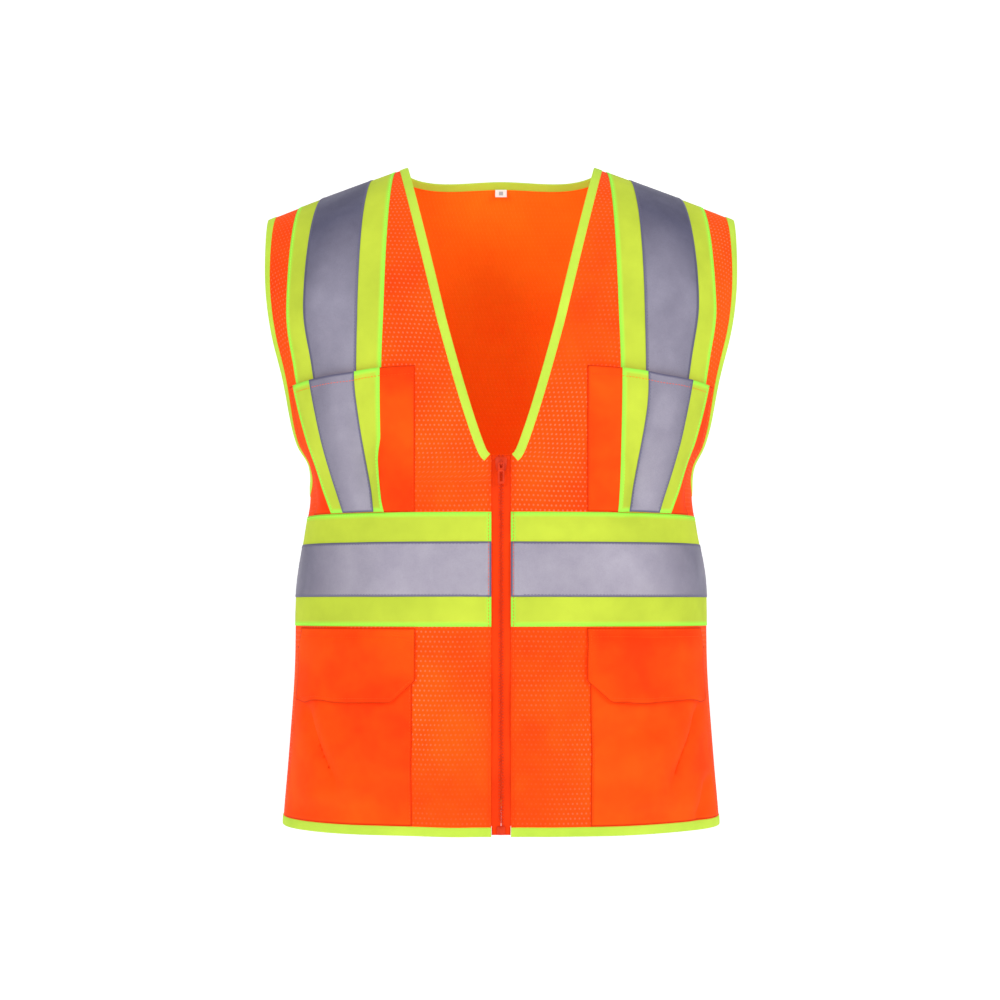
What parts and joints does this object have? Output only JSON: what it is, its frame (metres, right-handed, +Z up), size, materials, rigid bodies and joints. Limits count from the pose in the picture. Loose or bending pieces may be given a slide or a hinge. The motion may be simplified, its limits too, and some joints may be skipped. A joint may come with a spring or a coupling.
{
  "type": "high visibility vest",
  "caption": "Sleeveless zip-front work vest with a V neck, contrast and silver tapes over the shoulders and round the waist, chest pockets and flapped lower pockets.",
  "frame": {"origin": "midway between the two shoulder seams at the neck, where the shoulders hold the vest", "axes": "+Z up along the vest, -Y out of its front, +X towards the wearer's left"},
  "size_m": [0.47, 0.2487, 0.6556],
  "materials": {
    "mesh_fabric": "fine open mesh, matte",
    "pocket_fabric": "close knit, matte",
    "contrast_tape": "woven tape, slight sheen",
    "reflective_tape": "glass bead tape, satin",
    "zip_tape": "woven tape",
    "zip_plastic": "moulded, satin",
    "hook_and_loop": "hook and loop pile",
    "label_fabric": "woven satin"
  },
  "bodies": {
    "root": {"back_panel": "mesh_fabric", "left_front_panel": "mesh_fabric", "right_front_panel": "mesh_fabric", "neck_binding": "contrast_tape", "left_armhole_binding": "contrast_tape", "right_armhole_binding": "contrast_tape", "hem_binding": "contrast_tape", "left_waist_contrast": "contrast_tape", "right_waist_contrast": "contrast_tape", "back_waist_contrast": "contrast_tape", "left_waist_reflective": "reflective_tape", "right_waist_reflective": "reflective_tape", "back_waist_reflective": "reflective_tape", "left_strap_contrast": "contrast_tape", "right_strap_contrast": "contrast_tape", "left_strap_reflective": "reflective_tape", "right_strap_reflective": "reflective_tape", "left_back_strap_contrast": "contrast_tape", "right_back_strap_contrast": "contrast_tape", "left_back_strap_reflective": "reflective_tape", "right_back_strap_reflective": "reflective_tape", "left_chest_pocket": "pocket_fabric", "right_chest_pocket": "pocket_fabric", "left_chest_pocket_contrast": "contrast_tape", "right_chest_pocket_contrast": "contrast_tape", "left_chest_pocket_reflective": "reflective_tape", "right_chest_pocket_reflective": "reflective_tape", "left_lower_pocket": "pocket_fabric", "right_lower_pocket": "pocket_fabric", "left_loop_patch": "hook_and_loop", "right_loop_patch": "hook_and_loop", "left_zip_tape": "zip_tape", "right_zip_tape": "zip_tape", "left_zip_teeth": "zip_plastic", "right_zip_teeth": "zip_plastic", "zip_top_stops": "zip_plastic", "zip_box": "zip_plastic", "zip_pin": "zip_plastic"},
    "slider": {"zip_slider": "zip_plastic"},
    "pull": {"zip_pull": "zip_plastic"},
    "left_flap": {"left_pocket_flap": "pocket_fabric", "left_hook_patch": "hook_and_loop"},
    "right_flap": {"right_pocket_flap": "pocket_fabric", "right_hook_patch": "hook_and_loop"},
    "label": {"size_label": "label_fabric"}
  },
  "joints": [
    {"name": "zip_slide", "type": "slide", "parent": "root", "child": "slider", "axis": [0, 0, -1], "range_m": [0, 0.318], "deforming": ["left_zip_teeth", "right_zip_teeth"]},
    {"name": "zip_pull_swing", "type": "hinge", "parent": "slider", "child": "pull", "pos_m": [0, -0.1297, -0.3065], "axis": [-1, 0, 0], "range_deg": [0, 170]},
    {"name": "left_flap_lift", "type": "hinge", "parent": "root", "child": "left_flap", "pos_m": [0.15204, -0.10095, -0.4585], "axis": [-0.8687, -0.4953, 0], "range_deg": [0, 150]},
    {"name": "right_flap_lift", "type": "hinge", "parent": "root", "child": "right_flap", "pos_m": [-0.15204, -0.10095, -0.4585], "axis": [-0.8687, 0.4953, 0], "range_deg": [0, 150]},
    {"name": "label_flip", "type": "hinge", "parent": "root", "child": "label", "pos_m": [0, 0.0637, -0.0029], "axis": [-1, 0, 0], "range_deg": [0, 120]}
  ]
}
